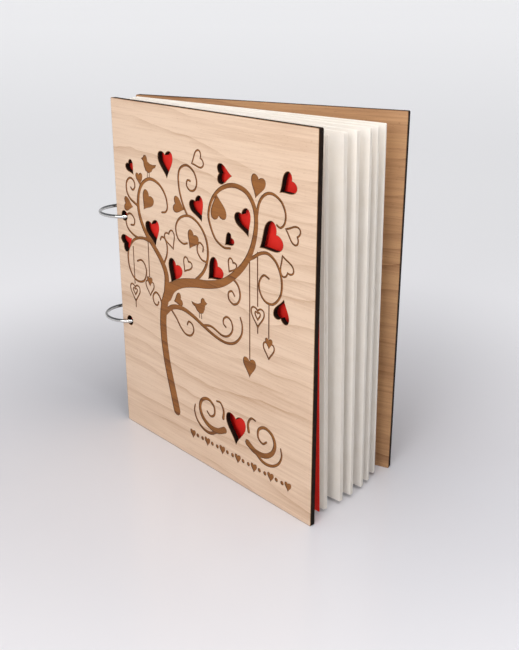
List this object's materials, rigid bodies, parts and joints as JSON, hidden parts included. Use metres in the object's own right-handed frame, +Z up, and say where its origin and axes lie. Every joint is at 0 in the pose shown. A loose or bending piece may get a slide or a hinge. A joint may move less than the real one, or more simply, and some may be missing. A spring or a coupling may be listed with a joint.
{
  "type": "ring-bound wooden guest book",
  "caption": "Ring-bound guest book with plywood covers, heart cut-outs over a red backing sheet, card leaves and two hinged snap rings.",
  "frame": {"origin": "centre of the base of the whole book's bounding box, on the surface that the covers stand on", "axes": "+Z up along the book's height, +X from the spine to the fore-edge halfway between the covers, front cover on the -Y side"},
  "size_m": [0.1983, 0.0854, 0.216],
  "materials": {
    "front_veneer": "bare light maple veneer, laser engraved",
    "back_veneer": "bare veneer, warm tan",
    "red_card": "matt red card",
    "page_card": "matt cream white card",
    "ring_wire": "bright nickel plate"
  },
  "bodies": {
    "back_cover": {"back_cover": "back_veneer"},
    "leaf_18": {"leaf_18": "page_card"},
    "leaf_17": {"leaf_17": "page_card"},
    "leaf_16": {"leaf_16": "page_card"},
    "leaf_15": {"leaf_15": "page_card"},
    "leaf_14": {"leaf_14": "page_card"},
    "leaf_13": {"leaf_13": "page_card"},
    "leaf_12": {"leaf_12": "page_card"},
    "leaf_11": {"leaf_11": "page_card"},
    "leaf_10": {"leaf_10": "page_card"},
    "leaf_09": {"leaf_09": "page_card"},
    "leaf_08": {"leaf_08": "page_card"},
    "leaf_07": {"leaf_07": "page_card"},
    "leaf_06": {"leaf_06": "page_card"},
    "leaf_05": {"leaf_05": "page_card"},
    "leaf_04": {"leaf_04": "page_card"},
    "leaf_03": {"leaf_03": "page_card"},
    "leaf_02": {"leaf_02": "page_card"},
    "leaf_01": {"leaf_01": "page_card"},
    "red_backing_sheet": {"red_backing_sheet": "red_card"},
    "front_cover": {"front_cover": "front_veneer"},
    "lower_ring": {"lower_ring_inner_half": "ring_wire", "lower_ring_rivet": "ring_wire"},
    "lower_ring_gate": {"lower_ring_outer_half": "ring_wire"},
    "upper_ring": {"upper_ring_inner_half": "ring_wire", "upper_ring_rivet": "ring_wire"},
    "upper_ring_gate": {"upper_ring_outer_half": "ring_wire"}
  },
  "joints": [
    {"name": "leaf_18_turn", "type": "hinge", "parent": "back_cover", "child": "leaf_18", "pos_m": [-0.08065, 0, 0], "axis": [0, 0, -1], "range_deg": [-3.42, 180]},
    {"name": "leaf_17_turn", "type": "hinge", "parent": "leaf_18", "child": "leaf_17", "pos_m": [-0.08065, 0, 0], "axis": [0, 0, -1], "range_deg": [-0.16, 180]},
    {"name": "leaf_16_turn", "type": "hinge", "parent": "leaf_17", "child": "leaf_16", "pos_m": [-0.08065, 0, 0], "axis": [0, 0, -1], "range_deg": [-0.16, 180]},
    {"name": "leaf_15_turn", "type": "hinge", "parent": "leaf_16", "child": "leaf_15", "pos_m": [-0.08065, 0, 0], "axis": [0, 0, -1], "range_deg": [-2.48, 180]},
    {"name": "leaf_14_turn", "type": "hinge", "parent": "leaf_15", "child": "leaf_14", "pos_m": [-0.08065, 0, 0], "axis": [0, 0, -1], "range_deg": [-0.16, 180]},
    {"name": "leaf_13_turn", "type": "hinge", "parent": "leaf_14", "child": "leaf_13", "pos_m": [-0.08065, 0, 0], "axis": [0, 0, -1], "range_deg": [-0.16, 180]},
    {"name": "leaf_12_turn", "type": "hinge", "parent": "leaf_13", "child": "leaf_12", "pos_m": [-0.08065, 0, 0], "axis": [0, 0, -1], "range_deg": [-1.98, 180]},
    {"name": "leaf_11_turn", "type": "hinge", "parent": "leaf_12", "child": "leaf_11", "pos_m": [-0.08065, 0, 0], "axis": [0, 0, -1], "range_deg": [-0.16, 180]},
    {"name": "leaf_10_turn", "type": "hinge", "parent": "leaf_11", "child": "leaf_10", "pos_m": [-0.08065, 0, 0], "axis": [0, 0, -1], "range_deg": [-0.16, 180]},
    {"name": "leaf_09_turn", "type": "hinge", "parent": "leaf_10", "child": "leaf_09", "pos_m": [-0.08065, 0, 0], "axis": [0, 0, -1], "range_deg": [-2.98, 180]},
    {"name": "leaf_08_turn", "type": "hinge", "parent": "leaf_09", "child": "leaf_08", "pos_m": [-0.08065, 0, 0], "axis": [0, 0, -1], "range_deg": [-0.16, 180]},
    {"name": "leaf_07_turn", "type": "hinge", "parent": "leaf_08", "child": "leaf_07", "pos_m": [-0.08065, 0, 0], "axis": [0, 0, -1], "range_deg": [-0.16, 180]},
    {"name": "leaf_06_turn", "type": "hinge", "parent": "leaf_07", "child": "leaf_06", "pos_m": [-0.08065, 0, 0], "axis": [0, 0, -1], "range_deg": [-2.38, 180]},
    {"name": "leaf_05_turn", "type": "hinge", "parent": "leaf_06", "child": "leaf_05", "pos_m": [-0.08065, 0, 0], "axis": [0, 0, -1], "range_deg": [-0.16, 180]},
    {"name": "leaf_04_turn", "type": "hinge", "parent": "leaf_05", "child": "leaf_04", "pos_m": [-0.08065, 0, 0], "axis": [0, 0, -1], "range_deg": [-0.16, 180]},
    {"name": "leaf_03_turn", "type": "hinge", "parent": "leaf_04", "child": "leaf_03", "pos_m": [-0.08065, 0, 0], "axis": [0, 0, -1], "range_deg": [-3.38, 180]},
    {"name": "leaf_02_turn", "type": "hinge", "parent": "leaf_03", "child": "leaf_02", "pos_m": [-0.08065, 0, 0], "axis": [0, 0, -1], "range_deg": [-0.16, 180]},
    {"name": "leaf_01_turn", "type": "hinge", "parent": "leaf_02", "child": "leaf_01", "pos_m": [-0.08065, 0, 0], "axis": [0, 0, -1], "range_deg": [-0.16, 180]},
    {"name": "red_backing_sheet_turn", "type": "hinge", "parent": "leaf_01", "child": "red_backing_sheet", "pos_m": [-0.08065, 0, 0], "axis": [0, 0, -1], "range_deg": [-0.99, 180]},
    {"name": "front_cover_turn", "type": "hinge", "parent": "red_backing_sheet", "child": "front_cover", "pos_m": [-0.08065, 0, 0], "axis": [0, 0, -1], "range_deg": [-0.35, 180]},
    {"name": "lower_ring_slide_round", "type": "hinge", "parent": "back_cover", "child": "lower_ring", "pos_m": [-0.08065, 0, 0.07359], "axis": [0, 0, 1], "range_deg": [-25, 25]},
    {"name": "lower_ring_open", "type": "hinge", "parent": "lower_ring", "child": "lower_ring_gate", "pos_m": [-0.08303, 0.01693, 0.07359], "axis": [0, 0, 1], "range_deg": [-80, 0]},
    {"name": "upper_ring_slide_round", "type": "hinge", "parent": "back_cover", "child": "upper_ring", "pos_m": [-0.08065, 0, 0.14344], "axis": [0, 0, 1], "range_deg": [-25, 25]},
    {"name": "upper_ring_open", "type": "hinge", "parent": "upper_ring", "child": "upper_ring_gate", "pos_m": [-0.08303, 0.01693, 0.14344], "axis": [0, 0, 1], "range_deg": [-80, 0]}
  ]
}
